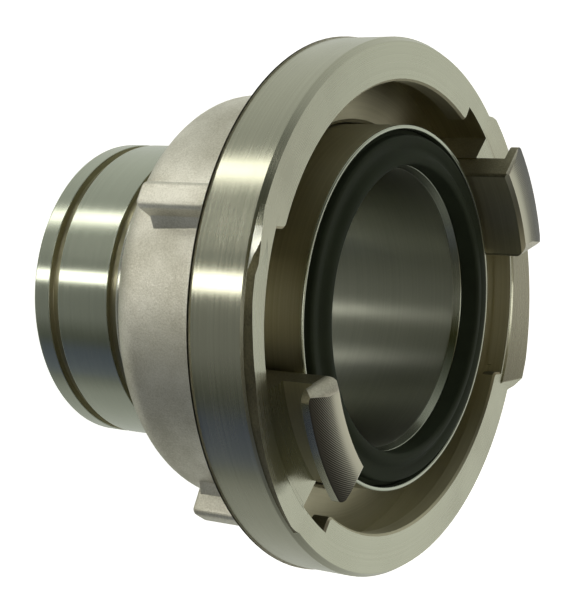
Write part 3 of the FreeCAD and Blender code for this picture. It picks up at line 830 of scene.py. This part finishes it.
def ear(start_deg, ramp_deg, rise, lift, rows):
    """One closed ear, whose height h, outer radius r_o and inner radius r_i follow its rows.

    With a the degrees past the start of its ramp and u = (r - r_i) / (r_o - r_i), its top is at
    z = face + min(rise a, h min(bevel u, lift + (1 - lift) u)).
    """
    rows = np.array(rows)
    turn = np.linspace(0, rows[-1, 0], EAR_STEPS)
    tall, outer_r, inner_r = [np.interp(turn, rows[:, 0], rows[:, i]) * MM for i in (1, 2, 3)]
    edge_r = np.where(turn < CLAW_END_DEG - EAR_START_DEG, OPENING_R, RECESS_R) + EAR_OFF_WALL
    across = np.linspace(0, 1, EAR_COLUMNS)[None, :]
    slope = np.minimum(EAR_BEVEL * across, lift + (1 - lift) * across)
    ramp = np.clip(turn - ramp_deg, 0, None) * rise
    top_r = inner_r[:, None] + (outer_r - inner_r)[:, None] * across
    top_z = FACE_Z + np.minimum(ramp[:, None], tall[:, None] * slope)
    foot_r = np.full(EAR_STEPS, EAR_FOOT_R)
    foot_z = np.full(EAR_STEPS, EAR_FOOT_Z)
    down = np.arange(1, EAR_SIDE_ROWS)[None, :] / EAR_SIDE_ROWS
    side_r = outer_r[:, None] + (foot_r - outer_r)[:, None] * down
    side_z = top_z[:, -1:] + (foot_z - top_z[:, -1])[:, None] * down
    r = np.column_stack([edge_r, top_r, side_r, foot_r, foot_r, edge_r])
    z = np.column_stack([0 * turn + FACE_Z, top_z, side_z, foot_z, foot_z - EAR_SUNK, foot_z - EAR_SUNK])
    way = np.radians(start_deg + turn)[:, None]
    points = np.stack([r * np.cos(way), r * np.sin(way), z], axis=2)
    sides = r.shape[1]
    row, side = np.meshgrid(np.arange(EAR_STEPS - 1), np.arange(sides), indexing="ij")
    next_side = (side + 1) % sides
    corners = [(row, side), (row, next_side), (row + 1, next_side), (row + 1, side)]
    quads = np.stack([i * sides + j for i, j in corners], axis=2).reshape(-1, 4)
    fan = np.arange(1, sides - 1)
    first_cap = np.stack([0 * fan, fan + 1, fan], axis=1)
    last_cap = np.stack([0 * fan, fan, fan + 1], axis=1) + (EAR_STEPS - 1) * sides
    faces = np.concatenate([quads[:, [0, 1, 2]], quads[:, [0, 2, 3]], first_cap, last_cap])
    return points.reshape(-1, 3), faces


right_ear, right_faces = ear(EAR_START_DEG, RIGHT_RAMP_DEG, RIGHT_EAR_RISE, RIGHT_EAR_LIFT, RIGHT_EAR)
left_ear, left_faces = ear(EAR_START_DEG + 180, LEFT_RAMP_DEG, LEFT_EAR_RISE, LEFT_EAR_LIFT, LEFT_EAR)
body_count = len(ring_points)
body_face_count = len(ring_faces)
right_faces += body_count
left_faces += body_count + len(right_ear)
ring_faces = np.concatenate([ring_faces, right_faces, left_faces])
ring_points = np.concatenate([ring_points, right_ear, left_ear])
lug_ring = mesh_object("cast_lug_ring", ring_points, ring_faces.tolist())

# Which finish each face has, by where it lies and how far it looks up or sideways. The start of the
# left ear's side, up to a slanting line, gets a lighter and smoother steel as a painted highlight
LEAST_AREA = 1e-15
FACE_UP = 0.6
WALL_UP = 0.5
HOOK_UP = 0.3
SIDE_UP = 0.3
WALL_SIDEWAYS = 0.25
CORNER_LEAN = 0.1
triangle = ring_points[ring_faces]
middle = triangle.mean(axis=1)
looks = np.cross(triangle[:, 1] - triangle[:, 0], triangle[:, 2] - triangle[:, 0])
looks /= np.maximum(np.linalg.norm(looks, axis=1, keepdims=True), LEAST_AREA)
corner_r = np.linalg.norm(triangle[:, :, :2], axis=2)
nearest_r, furthest_r = corner_r.min(axis=1), corner_r.max(axis=1)
lowest_z, highest_z = triangle[:, :, 2].min(axis=1), triangle[:, :, 2].max(axis=1)
sideways = np.abs(looks[:, 1] * middle[:, 0] - looks[:, 0] * middle[:, 1])
sideways /= np.linalg.norm(middle[:, :2], axis=1)
upwards = looks[:, 2]

on_claw = (lowest_z > FACE_Z + TOUCH) & (furthest_r < HOOK_R + TOUCH)
on_ear = np.arange(len(ring_faces)) >= body_face_count
on_edge = nearest_r > FACE_R - TOUCH
CAST, TURNED, FACED, BORED, WALLS, MILLED, DARK_BROWN_SIDE, PAINTED_HIGHLIGHT = range(8)
finish = np.full(len(ring_faces), BORED)
finish[(lowest_z > FACE_Z - TOUCH) & (upwards > FACE_UP)] = FACED
finish[on_edge & (lowest_z < FACE_Z - TOUCH)] = TURNED
finish[on_ear] = FACED
ear_side = on_ear & (nearest_r > FACE_R) & (upwards < SIDE_UP)
ear_along = np.degrees(np.arctan2(middle[:, 1], middle[:, 0]) + np.pi / 2) % 180 - 90 - EAR_START_DEG
ear_above = (middle[:, 2] - EAR_FOOT_Z) / MM
ear_highlight = ear_along < EAR_HIGHLIGHT_DEG - EAR_HIGHLIGHT_SLANT * ear_above
finish[ear_side] = DARK_BROWN_SIDE
finish[ear_side & (middle[:, 0] < 0) & ear_highlight] = PAINTED_HIGHLIGHT
finish[on_claw & (nearest_r > HOOK_R - TOUCH)] = TURNED
finish[on_claw & (upwards > HOOK_UP)] = MILLED
# Walls that face sideways in the openings take a darker steel that is painted shade
finish[~on_ear & (sideways > WALL_SIDEWAYS) & (upwards < WALL_UP)] = WALLS
finish[on_claw & (sideways > CORNER_LEAN) & (upwards > CORNER_LEAN)] = CAST
finish[(highest_z < CAST_END_Z + TOUCH) & (nearest_r > COUNTERBORE_R + TOUCH)] = CAST
lug_ring.data.polygons.foreach_set("material_index", finish)
lug_ring.data.polygons.foreach_set("use_smooth", np.ones(len(ring_faces), bool))
lug_ring.data.set_sharp_from_angle(angle=SHARP_ANGLE)
lug_ring.data.materials.append(
    blasted_casting("blasted_cast_stainless", "#F0EDE0", "#C2BEAC", 0.42 * MM, 0.06 * MM, 0.95)
)
lug_ring.data.materials.append(
    turned_steel("turned_cast_stainless", "#CACAB6", "#AEAE9B", 0.18, 0.3, 0.32 * MM, 0.0015 * MM)
)
lug_ring.data.materials.append(
    turned_steel("faced_cast_stainless", "#CDCEB9", "#B5B6A2", 0.2, 0.32, 0.32 * MM, 0.0015 * MM)
)
lug_ring.data.materials.append(
    turned_steel("bored_cast_stainless", "#D6D1B6", "#B5B093", 0.34, 0.48, 0.4 * MM, 0.003 * MM)
)
# Painted shade: the walls in the openings and the recess get a darker, less metallic cast steel
lug_ring.data.materials.append(
    blasted_casting("cast_walls_in_painted_shade", "#A5A189", "#7D7962", 0.42 * MM, 0.05 * MM, 0.8)
)
# The hooks' steel runs down to a near-black colour: painted shade on the hook's edge and ridges
lug_ring.data.materials.append(
    ridged_steel("milled_stainless_painted_shade", "#CCC9B4", "#27251F", 0.3, 0.84 * MM, 1.7, 0.045 * MM)
)
# The ears' outer sides are a dark brown blasted steel
lug_ring.data.materials.append(
    blasted_casting("dark_brown_ear_side", "#6B664A", "#322E1D", 0.45 * MM, 0.05 * MM, 0.8)
)
# Painted highlight: a lighter, smoother steel on the start of the left ear's side
lug_ring.data.materials.append(
    turned_steel("ear_start_painted_highlight", "#E8E9DC", "#DADBCE", 0.2, 0.26, 0.32 * MM, 0.001 * MM, False)
)
soft_edges = lug_ring.modifiers.new("soft_edges", "BEVEL")
soft_edges.width = CAST_EDGE_ROUND
soft_edges.segments = 2
soft_edges.limit_method = "ANGLE"
soft_edges.angle_limit = SHARP_ANGLE
soft_edges.harden_normals = True
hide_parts("lug_ring")
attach(lug_ring, "lug_ring")
